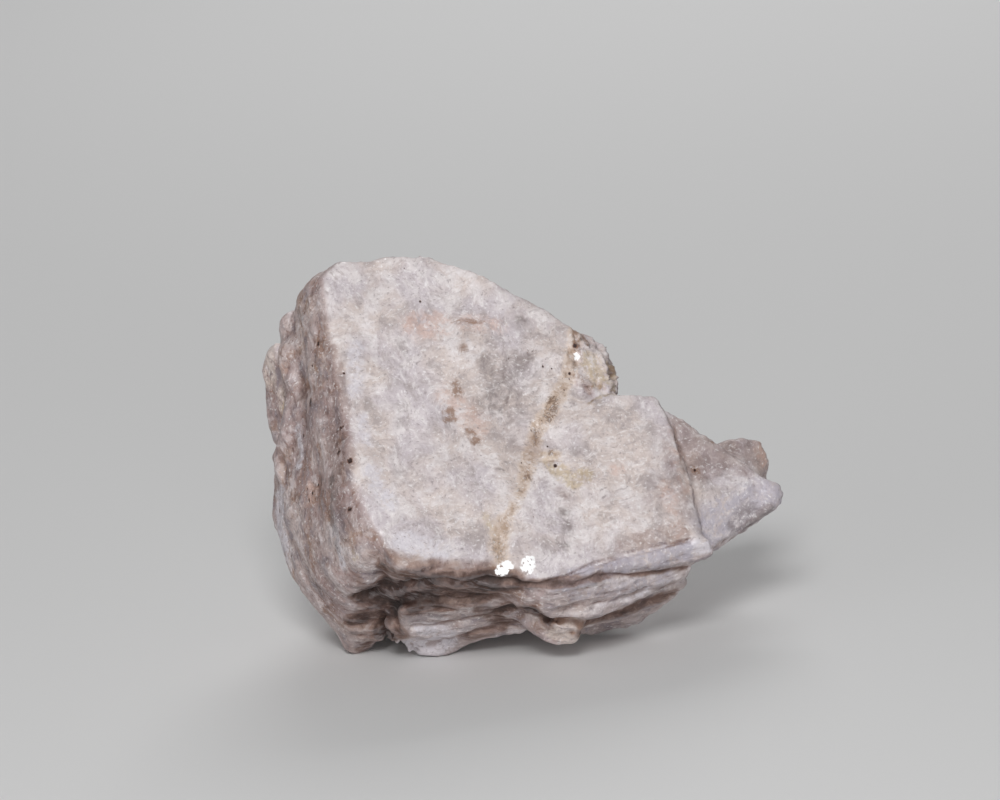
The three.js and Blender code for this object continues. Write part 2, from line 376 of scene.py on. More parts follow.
def broken_lump():
    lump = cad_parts["stone"].copy()
    lump.data = lump.data.copy()
    lump.name = "wollastonite_lump"
    bpy.context.scene.collection.objects.link(lump)
    select_only(lump)
    bpy.ops.object.mode_set(mode="EDIT")
    bpy.ops.mesh.select_all(action="SELECT")
    bpy.ops.mesh.remove_doubles(threshold=MERGE_GAP * MM)
    bpy.ops.object.mode_set(mode="OBJECT")
    break_up(lump)
    roughen(lump)
    flatten_feet(lump)
    lump.vertex_groups.clear()
    bpy.ops.object.shade_smooth()
    return lump


def break_up(lump):
    """The leaves, ribs, worn rims and recesses."""
    apply(lump, "REMESH", mode="VOXEL", voxel_size=BROAD_VOXEL * MM)
    smooth(lump, BROAD_ROUNDS)
    weigh(lump, "torn", torn_share(lump))
    smooth(lump, TORN_ROUNDS, "torn")
    raise_reliefs(lump, LEAF_RELIEFS)
    weigh(lump, "spur edge", near(lump, SPUR_EDGE, SPUR_EDGE_REACH))
    raise_reliefs(lump, SPUR_RELIEFS)
    wear(lump, WORN_RIMS)
    cut(lump, BROAD_CUTS)
    wear(lump, WORN_FLAKES)


def roughen(lump):
    """The crust, chips, fibres, fine creases and teeth."""
    apply(lump, "REMESH", mode="VOXEL", voxel_size=FINE_VOXEL * MM)
    smooth(lump, FINE_ROUNDS)
    weigh(lump, "crust", near(lump, CRUST, CRUST_REACH))
    raise_reliefs(lump, CRUST_RELIEFS)
    weigh(lump, "ledges", torn_share(lump) * (1 - FLANK_CALM * flank_share(lump)))
    raise_reliefs(lump, FINE_RELIEFS)
    cut(lump, FINE_CUTS)
    weigh(lump, "teeth", near(lump, TEETH, TEETH_REACH))
    raise_reliefs(lump, TOOTH_RELIEFS)
    apply(lump, "DECIMATE", decimate_type="COLLAPSE", ratio=KEPT_FACES)


def flatten_feet(lump):
    """Brings what sank below the floor back up to it."""
    select_only(lump)
    bpy.ops.object.mode_set(mode="EDIT")
    bpy.ops.mesh.select_all(action="DESELECT")
    bpy.ops.object.mode_set(mode="OBJECT")
    for vertex in lump.data.vertices:
        vertex.select = vertex.co.z < 0
    bpy.ops.object.mode_set(mode="EDIT")
    bpy.ops.transform.resize(value=(1, 1, 0), center_override=(0, 0, 0))
    bpy.ops.object.mode_set(mode="OBJECT")


lump = broken_lump()


# ---- Stains, painted shade and painted glints on the lump --------------------------------
# Marks of the stains, the painted shade and the painted glints: path in the leaf frame, reach in
# millimetres, strength.
STAINS_SHADE_AND_GLINTS = {
    "rust": (
        (((18.5, 28.9, 0),), 1.7, 0.8),
        (((16.2, 24.2, 0), (16, 23.2, 0)), 1.5, 0.9),
        (((14.2, 20.4, 0), (14.1, 19.6, 0)), 1.8, 0.9),
        (((16.2, 17.3, 0), (16.6, 15.8, 0)), 1.4, 0.85),
        (((18.6, 33.1, 0), (22.6, 32.4, 0)), 1.0, 0.7),
        (((40.3, -1.6, 0),), 1.2, 0.7),
        (((45.1, 6.3, 0.9),), 1.2, 1.0),
        (((35.8, 28.7, 1.3), (36.5, 27.1, 1.4)), 1.8, 0.8),
        (((34.2, 20.7, 0), (32.6, 22.5, 0)), 1.2, 0.6),
        (((48.8, 10.1, 1.8),), 0.9, 0.8),
        (((34.7, 28.8, 0), (34, 27, 0)), 1.4, 0.8),
        (((19.6, -7.2, 6.5), (22.5, -7.9, 9), (25.6, -9.4, 9.5)), 1.6, 0.9),
        (RECESS_MOUTH, 2.2, 0.8),
        (((3.7, 0.7, 19),), 3.0, 0.8),
        (SEAM[4:7], 0.9, 0.55),
    ),
    # Brown dirt in the recesses, creases and undercuts, which is also painted shade where the lip,
    # ledges and feet keep the light out.
    "soil_and_painted_shade": (
        (UPPER_RECESS, 3.2, 1.5),
        (LOWER_RECESS[:3], 2.4, 1.0),
        (LOWER_RECESS[2:], 2.1, 1.0),
        (FIBRE_BAND, 3.6, 1.5),
        (((-1.6, 3.2, 3), (1, 1.2, 0.6), (4.5, -1, -0.1), (9, -2, -0.1), (13, -3, -0.2)), 2.6, 0.45),
        (TOE_TOP, 2.4, 0.6),
        (((13, -5.4, 16.3), (16.8, -5.5, 14.5), (17.9, -5.6, 12.8)), 1.8, 0.55),
        (((6.5, -2.2, 1), (9.1, -2.8, 0.6), (12.5, -3.6, 0.7)), 1.6, 1.3),
        (LEDGE_CREASE, 2.0, 1.0),
        (LOW_CREASE, 1.8, 0.9),
        (ROD_FOOT, 0.7, 0.8),
        (ROD_TOP, 0.6, 0.7),
        (ROD_FOOT[:4], 1.3, 0.8),
        (((33.8, 26.5, -0.8),), 1.0, 1.0),
        (((39.1, 23.9, 3.5), (37.5, 20, 0.5)), 1.8, 0.3),
        (SPUR_CREASE, 0.9, 0.5),
        (LONG_LINE, 0.4, 0.3),
        (RECESS_MOUTH, 2.8, 0.9),
        (((0.5, 1.6, 16), (3.7, 0.7, 19), (4.9, -0.3, 21)), 3.5, 0.7),
        (((2.4, -0.7, 16.2), (3.4, -2, 16.6), (3.1, -0.5, 20.4)), 3.2, 1.2),
        (((-0.9, -0.2, 21), (1.1, -0.2, 20.1), (0.4, -0.9, 25.1)), 3.6, 0.4),
        (((-3, 3.3, 7.9), (-1.4, 1.8, 9.5)), 2.2, 0.35),
        (((-0.4, 22, 2), (-1.2, 18, 2.5), (-2.8, 14, 4)), 2.6, 0.25),
    ),
    # Fine dirt, which is also painted shade on the spur's upper part, along its crease and at the rod's
    # left end.
    "dust_and_painted_shade": (
        (((44.6, 12, 0.8), (46, 7, 1), (50, 9, 1.8)), 4.5, 1.0),
        (((55, 12, 8), (58.8, 11, 10)), 6.0, 0.9),
        (((41.8, 11, -0.7), (41.5, 0, -0.6)), 2.2, 0.6),
        (((-0.6, 24, 3), (-1.4, 17, 3.5), (-2.4, 9, 3)), 3.0, 0.8),
        (((-2, 36, 12), (-3, 30, 16)), 4.0, 0.5),
        (((-5, 11, 15), (-4, 5, 18)), 6.0, 0.5),
        (((-1.4, 17, 2), (-1, 8, 1.8)), 2.4, 0.6),
        (((0.8, 33, 0.6), (0.9, 28, 0.5), (0.2, 24.1, 0.6)), 2.0, 0.95),
        (((0.2, 24.1, 0.6), (-0.3, 21.5, 0.7), (-0.7, 18, 0.9), (-1.1, 15.8, 0.8)), 2.0, 0.95),
        (((31.5, -3, -0.3), (35, -2.6, -0.5), (40.2, -2.4, -0.6)), 2.2, 0.75),
        (((37.5, 2.5, -0.6), (40.5, 5, -0.6)), 3.0, 0.45),
        (((50, 6.3, 1.5), (52.5, 5.2, 1.6)), 2.2, 0.7),
        (((50, -2.2, 3.5), (54, -0.5, 2.8)), 1.6, 1.0),
        (((26.1, 4.1, 0), (25.9, 6.4, 0)), 1.5, 0.6),
        (((28, -5.6, 0.2), (31.5, -5.2, 0.1)), 1.8, 0.9),
    ),
    "blush": (
        (((13.5, 33.9, 0), (16, 33.2, 0)), 4.0, 0.9),
        (((15, 22.5, 0), (17.5, 18, 0)), 4.0, 0.75),
        (((20, 32.6, 0), (24, 31.5, 0)), 3.0, 0.7),
        (((34.1, 7.8, 0),), 2.2, 0.9),
        (((-4.2, 16.9, 11.3),), 3.0, 1.0),
        (((58.8, 11.5, 10), (59.3, 9, 10.5)), 2.5, 1.0),
        (((43.4, 12, 0), (43.2, 3, -0.7)), 3.0, 0.6),
        (((40, 4, -0.7), (39.5, -2.4, -0.5)), 2.5, 0.6),
        (((-2.7, 35.7, 11.6),), 2.0, 1.2),
        (((35, 28.7, 1), (37.7, 29, 3.1)), 2.2, 0.8),
    ),
    "olive": (
        (((25.4, 11.6, 0), (26.3, 9.4, 0), (27.6, 7.3, 0), (29.7, 7.9, 0)), 2.0, 1.25),
        (((33.7, 17.9, 0), (37, 18.6, 0)), 1.6, 0.8),
        (((39.1, 24, 3.5), (37.5, 19.8, 0.8)), 2.4, 1.0),
        (((35.2, 24.2, 0), (35.7, 21, 0)), 2.8, 0.9),
        (((-2.8, 32.1, 16.6),), 2.0, 1.2),
        (((37.9, 22, 0.6), (38.2, 19.6, 1)), 1.5, 1.3),
        (((-2.9, 4.3, 4.2),), 1.6, 0.9),
        (((14.9, 4.9, 0), (15, 0, 0)), 1.8, 0.7),
    ),
    # Clear grey patches; the marks on the toe's top, the fibre band, under the rod and on the spur's
    # lower edge are painted shade.
    "smoke": (
        (((21.3, 26.7, 0), (20.8, 24.4, 0)), 2.8, 0.6),
        (((26.3, 25.7, 0), (24.1, 24.3, 0)), 3.2, 0.8),
        (((21.4, 22.3, 0), (18.8, 20.6, 0)), 2.6, 0.7),
        (((25, 24, 0), (22.5, 20, 0)), 7.0, 0.55),
        (((23.5, 22.5, 0), (22.5, 20.5, 0)), 1.6, 0.9),
        (((25.7, 25.4, -0.2),), 1.1, 1.1),
        (((21.8, 22.8, 0.2),), 1.0, 1.0),
        (TOE_TOP, 2.8, 0.7),
        (FIBRE_BAND, 2.6, 0.7),
        (((30, -7.5, 7), (36, -8, 8)), 1.8, 0.8),
        (((27.5, 31.5, 0),), 1.8, 0.7),
        (((18.6, 10.8, 0),), 1.2, 0.8),
        (((25.3, 3.2, 0), (25.2, 0.6, 0)), 1.6, 0.8),
        (((30, 1.6, 0),), 1.5, 0.7),
        (((23.8, -1.3, 0),), 1.8, 0.7),
        (((10, 6.5, 0), (11.5, 3, 0)), 3.0, 0.4),
        (((-2.9, 15.6, 4.3), (-3.5, 12.6, 4.1), (-4, 10.6, 5.8), (-3.7, 7.3, 7.1)), 1.6, 0.8),
        (((48.7, -1.9, 2.5), (51, 0, 2.2), (52.6, -1.3, 2.8)), 2.2, 0.7),
        (((51, -2.1, 3), (54, -0.6, 2.6)), 1.6, 1.2),
    ),
    # Blue-grey haze on the spur and the rod; on the spur's lower part it is also painted shade.
    "haze": (
        (((45, -2, 1), (50, 0, 2), (56, 1, 2.3)), 5.5, 0.9),
        (((56.5, 2, 3), (57.5, 3, 4)), 3.0, 1.0),
        (((22, -6.2, 0.6), (40, -5, 0.5)), 2.4, 1.2),
        (((24, -7, 3), (38, -7, 4)), 2.2, 0.7),
    ),
    "frost": (
        (((2.4, 9, 0), (1.6, 14, 0)), 2.4, 0.7),
        (((2.2, 18, 0), (2.6, 22, 0)), 1.8, 0.6),
        (((2.6, 26, 0), (4.4, 32, 0)), 2.6, 0.55),
        (((6, -4, 20), (9, -4.5, 18)), 3.8, 1.3),
        (((6.1, -3.1, 14.5), (10, -4, 15.5)), 2.4, 0.8),
        (((41, -4.9, 0), (42.8, -5, 0.4)), 1.8, 0.9),
        (((3, 3, 0), (7, 1, 0)), 3.5, 0.7),
        (((26, -6.5, 6), (34, -7, 5)), 3.0, 0.6),
        (((-6, 20.5, 19.8), (-6.7, 15, 22.5)), 4.0, 0.8),
        (((-3.3, 26.8, 11.9), (-3.8, 22.5, 13)), 1.8, 0.8),
        (((-3.8, 9.2, 6.2), (-3.7, 4.9, 7.9)), 1.6, 0.8),
        (((1.6, 1.4, 14.3), (5.3, -0.8, 10)), 1.0, 0.8),
    ),
    "cream": (
        (((22.5, -8.5, 9), (25, -9.5, 9.3)), 3.2, 0.8),
        (((22.5, -9.8, 9.3), (24.8, -11, 9.8)), 2.6, 1.0),
        (((35.5, 24, 0.5), (37.5, 22, 1)), 3.0, 0.3),
        (((-2.3, 41.3, 15.4), (-3.3, 37.6, 18.4)), 3.0, 0.8),
        (((-2.8, 34.2, 16.4), (-2.8, 32.1, 16.6)), 2.0, 0.7),
        (((27, 10, 0), (29, 8.5, 0)), 2.5, 0.5),
    ),
    "seam": (
        (SEAM[:4], 1.8, 0.9),
        (SEAM[3:7], 1.9, 1.0),
        (SEAM[6:9], 1.5, 0.9),
        (SEAM[8:], 2.2, 0.9),
        (((23.6, 12.6, 0), (26.5, 11.5, 0)), 1.8, 0.7),
    ),
    "granules": (
        (((33, 24.5, 0), (32.4, 23.2, 0)), 1.0, 0.6),
        (((31.6, 22.9, 0),), 1.0, 0.8),
        (((28.6, 19.5, 0), (27.5, 17.2, 0)), 1.5, 1.0),
        (((25.3, 15.6, 0), (24.5, 13.8, 0)), 1.3, 1.0),
        (((23.6, 12.6, 0),), 0.9, 0.8),
        (((26.1, 12.2, 0),), 1.0, 0.9),
        (((22, 9.2, 0),), 1.0, 1.0),
        (((20.2, 7.6, 0),), 1.0, 0.7),
        (((14.6, 1, 0), (15, -1.2, 0)), 1.8, 0.6),
    ),
    "pepper": (
        (((24.6, 27.9, 0), (26, 27.1, 0), (27.5, 26.2, 0), (28.6, 24.5, 0)), 2.6, 0.9),
        (((30.6, 25, 0),), 1.5, 0.7),
        (SEAM[2:8], 2.0, 0.9),
        (((34.1, 7.8, 0),), 1.3, 1.0),
    ),
    # Painted highlights: two glints at the seam's foot and one by the crust, painted plain white.
    "glint": (
        (((14.6, -3.2, -0.2), (15.5, -2.8, -0.2)), 1.2, 1.0),
        (((18.1, -3.6, -0.3), (18.5, -2.8, -0.3)), 1.3, 1.0),
        (((33.6, 25.2, 0),), 0.8, 0.9),
    ),
}

# Pits, which are in the material's colour and bump: middle in the leaf frame, half height in
# millimetres.
COVER_PITS = (
    ((14.9, 37.2, 0), 0.2), ((23.3, 31.3, 0), 0.12), ((27, 26.8, 0), 0.12), ((28.6, 24.5, 0), 0.16),
    ((26, 13.2, 0), 0.15), ((26.1, 10.1, 0), 0.24), ((34.2, 8.8, 0), 0.12), ((14.1, 42.4, 0), 0.12),
    ((33.7, 26.5, -0.9), 0.4), ((32, 22.9, 0), 0.2), ((31.7, 22.2, 0), 0.16), ((21.8, 11.5, 0), 0.14),
    ((22.6, 14.3, 0), 0.12), ((30.6, 20.7, 0), 0.12), ((29.7, 24, 0), 0.12), ((21, 3.4, 0), 0.1),
    ((45.1, 6.3, 0.9), 0.22),
)
RIM_PITS = (
    ((1.8, 28.7, 0.2), 0.16), ((-0.2, 21.5, 1), 0.12), ((-0.5, 21.5, 1.4), 0.2),
    ((-0.9, 21.3, 2.1), 0.13), ((-1.5, 18.5, 2.2), 0.3), ((-0.8, 16.3, 0.4), 0.34),
    ((-2.3, 10.1, 2), 0.26),
)
FLANK_PITS = (
    ((-1.7, 28.4, 6.8), 0.65), ((0.1, 34.7, 2.7), 0.35), ((-1.1, 32.3, 4.2), 0.2),
    ((-3, 25.3, 10.7), 0.3), ((-3.1, 14.9, 4.4), 0.25), ((-4, 18, 11.5), 0.25),
    ((-3.8, 16.9, 10.7), 0.28), ((-4.4, 16.3, 11.6), 0.25), ((-3.4, 17.4, 9.4), 0.2),
    ((-1.1, 34.5, 5.8), 0.2),
)
# How much narrower than its half height each kind of pit is, across, up and deep. Below 1 it
# reaches further.
PIT_SHAPES = ((COVER_PITS, (1.4, 1, 0.3)), (RIM_PITS, (1, 0.8, 0.6)), (FLANK_PITS, (0.3, 1, 1.6)))
# How far the sugary grain breaks a pit's edge.
PIT_UNEVENNESS = 2.5

# How far a vertex lies below its surroundings: rounds of smoothing that make these, depth in
# millimetres that takes the share from a half to 1.
# They drive painted shade in the hollows and nooks, and painted light on small ridges.
HOLLOWS = {"nook": (8, 0.12), "hollow": (90, 0.8)}


def paint(piece, name, values):
    layer = piece.data.attributes.new(name, "FLOAT", "POINT")
    layer.data.foreach_set("value", np.clip(values, 0, 1).astype(np.float32))


def hollowness(piece, rounds, depth):
    """How far each vertex lies below its smoothed surroundings, as a share of a depth in mm."""
    count = len(piece.data.vertices)
    ends = np.empty(len(piece.data.edges) * 2, np.int32)
    piece.data.edges.foreach_get("vertices", ends)
    first, second = ends[0::2], ends[1::2]
    valence = np.bincount(first, minlength=count) + np.bincount(second, minlength=count)
    places = read(piece, "co")
    smoothed = places.copy()
    for _ in range(rounds):
        for axis in range(3):
            column = smoothed[:, axis]
            total = np.bincount(first, column[second], count)
            total += np.bincount(second, column[first], count)
            smoothed[:, axis] = total / valence
    return np.einsum("ij,ij->i", smoothed - places, read(piece, "normal")) / (depth * MM)


def paint_stains_and_shade(lump):
    points = leaf_points(lump)
    for name, marks in STAINS_SHADE_AND_GLINTS.items():
        field = np.zeros(len(points))
        for path, reach, strength in marks:
            mark = strength * fade(distance_to(points, path), reach, FULL_CORE)
            field = np.maximum(field, mark)
        paint(lump, name, field)
    paint(lump, "torn", torn_share(lump) * (1 - BACK_CLEAN * back_share(lump)))
    paint(lump, "flank", flank_share(lump))
    for name, (rounds, depth) in HOLLOWS.items():
        paint(lump, name, 0.5 + 0.5 * hollowness(lump, rounds, depth))


paint_stains_and_shade(lump)


# ---- Finish ------------------------------------------------------------------------------
def linear(colour):
    """An sRGB hex colour as the linear values that a shader takes."""
    parts = [int(colour[place:place + 2], 16) / 255 for place in (0, 2, 4)]
    values = [part / 12.92 if part <= 0.04045 else ((part + 0.055) / 1.055) ** 2.4 for part in parts]
    return (*values, 1.0)


def add(tree, kind, inputs=None, **settings):
    """Adds a node with its settings, and sets or links its inputs."""
    made = tree.nodes.new(kind)
    for name, value in settings.items():
        setattr(made, name, value)
    for socket, value in (inputs or {}).items():
        if isinstance(value, bpy.types.NodeSocket):
            tree.links.new(value, made.inputs[socket])
        else:
            made.inputs[socket].default_value = value
    return made


# Grain of the mineral: size of its cells in millimetres (across, up, deep), detail, roughness.
# Real fibres are a few hundredths of a millimetre thick, too fine to show, so streak and thread
# draw bundles of them 0.4 to 0.7 mm thick. Grit is as coarse as it needs to be to show.
GRAINS = {
    "cloud": ((7.692, 7.692, 7.692), 3, 0.5),
    "mottle": ((3.125, 3.125, 3.125), 4, 0.55),
    "patch": ((4.545, 4.545, 4.545), 6, 0.62),
    "upright": ((0.7692, 2.564, 1.282), 5, 0.65),
    "level": ((2.564, 0.7692, 1.282), 5, 0.65),
    "edge": ((1.25, 1.25, 1.25), 6, 0.7),
    "sugar": ((0.4545, 0.4545, 0.4545), 4, 0.6),
    "grit": ((0.1667, 0.1667, 0.1667), 2, 0.6),
    "crumb": ((0.7692, 0.7692, 0.7692), 6, 0.7),
    "smear": ((3.571, 3.333, 2), 5, 0.6),
    "streak": ((3.333, 1.667, 0.6667), 5, 0.6),
    "thread": ((2.857, 0.7692, 0.3846), 4, 0.65),
}

# Size in millimetres of the noise that bends the grain, and how far it pushes it. The fibres of
# the torn edges run almost straight.
BEND_SIZE = 4.545
WAVY_BEND = 3.0
STRAIGHT_BEND = 0.8
STRAIGHT_GRAINS = ("streak", "thread")

# The cloud's values over which the mottling's strokes turn from lying to standing.
STROKE_TURN = (0.42, 0.58)

# Which grain breaks up each painted mark and how far.
PLAIN_PATCHINESS = ("edge", 4.0)
PATCHINESS = {
    "granules": ("sugar", 7.0),
    "glint": ("sugar", 5.0),
    "soil_and_painted_shade": ("patch", 3.0),
    "dust_and_painted_shade": ("edge", 3.0),
}

# Cleavage faces: size of the cells in millimetres, how far each leans its own way.
CLEAVAGE = {"flake": (1.0, 0.12), "spangle": (0.4545, 0.22)}
CLEAVAGE_BEND_SIZE = 1.0
CLEAVAGE_BEND = 1.6

# A round spot is full out to the first distance from its cell's middle and gone at the second,
# in cells.
SPOT_FULL = 0.2
SPOT_END = 0.34
# Which spots there are: name, the cell's colour channel that picks them, its least value, whether
# they are round spots or the whole cell.
SPOTS = (("speck", "X", 0.82, True), ("fleck", "Y", 0.86, True), ("shine", "Z", 0.9, False))

# Colour layers over the ground, from the bottom up: colour, what drives it, from, to, strength,
# where, blend.
GROUND = "D3C5C0"
TONES = (
    ("CDC3C7", "cloud", 0.4, 0.6, 1.0, None, "MIX"),
    ("E6DEDE", "mottle", 0.48, 0.66, 0.85, None, "MIX"),
    ("ACA09F", "mottle", 0.47, 0.3, 0.75, None, "MIX"),
    ("A09494", "patch", 0.54, 0.68, 0.6, None, "MIX"),
    ("ECE4E5", "patch", 0.44, 0.32, 0.65, None, "MIX"),
    ("EFE9E9", "upright", 0.53, 0.68, 0.6, "standing", "MIX"),
    ("AB9D9B", "upright", 0.47, 0.3, 0.6, "standing", "MIX"),
    ("EFE9E9", "level", 0.53, 0.68, 0.55, "lying", "MIX"),
    ("A99C9C", "level", 0.47, 0.3, 0.55, "lying", "MIX"),
    # White flecks, which also stand for small painted sparkles.
    ("F5F1F3", "fleck", 0.6, 0.8, 0.4, "clean", "MIX"),
    ("B8A5A2", "smear", 0.2, 0.5, 0.75, "torn", "MIX"),
    ("948890", "smear", 0.54, 0.66, 0.8, "torn", "MIX"),
    ("DDD4D5", "smear", 0.46, 0.34, 0.8, "torn", "MIX"),
    ("8A7D82", "mottle", 0.52, 0.66, 0.6, "torn", "MIX"),
    ("E0C8B0", "patch", 0.48, 0.64, 0.9, "flank", "MULTIPLY"),
    ("D2BDB7", "cloud", 0.35, 0.6, 0.7, "flank", "MULTIPLY"),
    ("9A8D90", "smear", 0.52, 0.64, 0.5, "flank", "MIX"),
    ("D6CBCC", "smear", 0.47, 0.36, 0.5, "flank", "MIX"),
    # Painted shade with fine dirt, darkening where these marks lie.
    ("C8BAB6", "dust_and_painted_shade", 0.2, 0.9, 0.8, None, "MULTIPLY"),
    ("DED9E0", "frost", 0.2, 0.8, 0.75, None, "MIX"),
    # Blue-grey haze, and painted shade on the spur's lower part.
    ("B6B0BC", "haze", 0.2, 1.2, 0.8, None, "MIX"),
    ("EADBD2", "cream", 0.2, 1.0, 0.8, None, "MIX"),
    # Clear grey patches, and painted shade where the marks lie in the undercut and on the spur's lower
    # edge.
    ("7F7270", "smoke", 0.15, 1.1, 0.75, None, "MIX"),
    ("D2B0A2", "blush", 0.25, 1.2, 0.6, None, "MIX"),
    ("BCA681", "olive", 0.35, 1.2, 0.65, None, "MIX"),
    ("DAC6B6", "seam", 0.1, 0.8, 0.65, None, "MIX"),
    ("AE927B", "seam", 0.6, 1.3, 0.75, None, "MIX"),
    ("755A46", "granules", 0.3, 1.2, 0.85, None, "MIX"),
    ("8C6A54", "rust", 0.3, 0.9, 0.75, None, "MIX"),
    ("F6F2F3", "sugar", 0.55, 0.7, 0.6, None, "MIX"),
    ("8A7D7E", "sugar", 0.43, 0.28, 0.6, None, "MIX"),
    # Painted shade with brown dirt, darkening the recesses, creases and undercuts.
    ("A88C7C", "soil_and_painted_shade", 0.1, 0.6, 0.9, None, "MULTIPLY"),
    ("806559", "soil_and_painted_shade", 0.6, 1.1, 0.9, None, "MULTIPLY"),
    # Painted shade in the hollows, in a warm brown.
    ("B39C8C", "hollow", 0.6, 0.95, 0.75, None, "MULTIPLY"),
    ("BBAEAA", "streak", 0.54, 0.72, 0.7, "torn", "MULTIPLY"),
    ("D8CED0", "streak", 0.44, 0.32, 0.25, "torn", "MIX"),
    ("AC9E9B", "thread", 0.53, 0.72, 0.7, "torn", "MULTIPLY"),
    # Painted shade in the small nooks of the torn edges, and painted light on their small ridges.
    ("C8B8B0", "nook", 0.62, 0.98, 0.7, "torn", "MULTIPLY"),
    ("E0D8DA", "nook", 0.36, 0.1, 0.15, "torn", "MIX"),
    ("5E4436", "speck", 0.6, 0.8, 0.8, "pepper", "MIX"),
    ("5F4436", "speck", 0.6, 0.8, 0.6, "flank", "MIX"),
    ("8A5638", "pit", 0.02, 0.3, 0.6, None, "MIX"),
    ("2E140E", "pit", 0.3, 0.6, 0.97, None, "MIX"),
    # Painted highlight: the glints are plain white.
    ("FFFFFF", "glint", 0.2, 0.5, 1.0, None, "MIX"),
)

# Relief too fine to model: what drives it, height in mm, where.
BUMPS = (
    ("mottle", 0.15, None),
    ("sugar", 0.045, None),
    ("grit", 0.014, None),
    ("crumb", 0.14, "torn"),
    ("sugar", 0.09, "torn"),
    ("streak", 0.17, "torn"),
    ("thread", 0.15, "torn"),
    ("pit", -0.15, None),
)

# Turns a cleavage face to the key light.
GLINT_LEAN = (-0.1, -1.7, 1.05)

# Roughness of the broken surface and of a cleavage face, and the mineral's refractive index.
DULL = 0.6
PEARLY = 0.3
REFRACTION = 1.63


def wollastonite():
    """White fibrous calcium silicate, broken and not polished.

    Pearly white to pinkish grey, mottled with clear grey patches and iron stains; fine fibres
    on the torn leaf edges; small cleavage faces that catch the light. Shade in the hollows,
    recesses, creases and undercuts is painted into the colour, and three glints are painted white.
    """
    material = bpy.data.materials.new("wollastonite, broken")
    material.use_nodes = True
    tree = material.node_tree
    shader = tree.nodes["Principled BSDF"]
    place = add(tree, "ShaderNodeTexCoord").outputs["Object"]
    leaf = add(tree, "ShaderNodeMapping", {
        "Vector": place, "Location": COVER_CORNER, "Rotation": LEAF_TURN, "Scale": (MM, MM, MM),
    }, vector_type="TEXTURE").outputs[0]
    look = grain_fields(tree, leaf)
    look.update(painted_fields(tree, look))
    look["pit"] = pit_field(tree, leaf, look)
    faces = cleavage_faces(tree, leaf)
    look.update(spots(tree, faces["spangle"]))

    tree.links.new(layered_tone(tree, look), shader.inputs["Base Color"])
    tree.links.new(gloss(tree, look), shader.inputs["Roughness"])
    tree.links.new(broken_normal(tree, look, faces), shader.inputs["Normal"])
    shader.inputs["IOR"].default_value = REFRACTION
    return material


def grain_fields(tree, leaf):
    """Noises in the bent leaf frame, from clouds to grit, and where the strokes stand or lie."""
    wavy = bent(tree, leaf, BEND_SIZE, WAVY_BEND)
    straight = bent(tree, leaf, BEND_SIZE, STRAIGHT_BEND)
    look = {}
    for name, (size, detail, roughness) in GRAINS.items():
        run = straight if name in STRAIGHT_GRAINS else wavy
        cells = add(tree, "ShaderNodeVectorMath", {0: run, 1: size}, operation="DIVIDE").outputs[0]
        look[name] = add(tree, "ShaderNodeTexNoise", {
            "Vector": cells, "Scale": 1.0, "Detail": detail, "Roughness": roughness,
        }).outputs["Fac"]
    look["standing"] = add(tree, "ShaderNodeMapRange", {
        "Value": look["cloud"], "From Min": STROKE_TURN[0], "From Max": STROKE_TURN[1],
    }).outputs["Result"]
    look["lying"] = add(tree, "ShaderNodeMath", {
        0: 1.0, 1: look["standing"],
    }, operation="SUBTRACT").outputs[0]
    return look


def bent(tree, leaf, size, reach):
    """The leaf frame pushed about by a noise of this size, so that nothing runs dead straight."""
    push = add(tree, "ShaderNodeTexNoise", {
        "Vector": leaf, "Scale": 1 / size, "Detail": 3,
    }).outputs["Color"]
    return add(tree, "ShaderNodeVectorMath", {
        0: push, 1: (reach, reach, reach), 2: leaf,
    }, operation="MULTIPLY_ADD").outputs[0]


def painted_fields(tree, look):
    """The painted shares; the stains, the painted shade and the glints get an edge that follows the
    grain.
    """
    fields = {}
    for name in STAINS_SHADE_AND_GLINTS:
        grain, gain = PATCHINESS.get(name, PLAIN_PATCHINESS)
        mark = add(tree, "ShaderNodeAttribute", attribute_name=name).outputs["Fac"]
        uneven = add(tree, "ShaderNodeMath", {
            0: look[grain], 1: gain, 2: 1 - gain / 2,
        }, operation="MULTIPLY_ADD").outputs[0]
        fields[name] = add(tree, "ShaderNodeMath", {
            0: mark, 1: uneven,
        }, operation="MULTIPLY").outputs[0]
    for name in ("torn", "flank", *HOLLOWS):
        fields[name] = add(tree, "ShaderNodeAttribute", attribute_name=name).outputs["Fac"]
    fields["clean"] = add(tree, "ShaderNodeMath", {
        0: 1.0, 1: fields["torn"],
    }, operation="SUBTRACT").outputs[0]
    return fields


def pit_field(tree, leaf, look):
    """Above 0 inside a pit, with an uneven edge."""
    nearest = None
    for pits, squash in PIT_SHAPES:
        for (across, up, deep), reach in pits:
            gap = add(tree, "ShaderNodeVectorMath", {
                0: leaf, 1: (across, up, -deep),
            }, operation="SUBTRACT").outputs[0]
            gap = add(tree, "ShaderNodeVectorMath", {
                0: gap, 1: [share / reach for share in squash],
            }, operation="MULTIPLY").outputs[0]
            gap = add(tree, "ShaderNodeVectorMath", {0: gap}, operation="LENGTH").outputs["Value"]
            if nearest is not None:
                gap = add(tree, "ShaderNodeMath", {0: gap, 1: nearest}, operation="MINIMUM").outputs[0]
            nearest = gap
    uneven = add(tree, "ShaderNodeMath", {
        0: look["sugar"], 1: PIT_UNEVENNESS, 2: nearest,
    }, operation="MULTIPLY_ADD").outputs[0]
    return add(tree, "ShaderNodeMath", {
        0: PIT_UNEVENNESS, 1: uneven,
    }, operation="SUBTRACT", use_clamp=True).outputs[0]


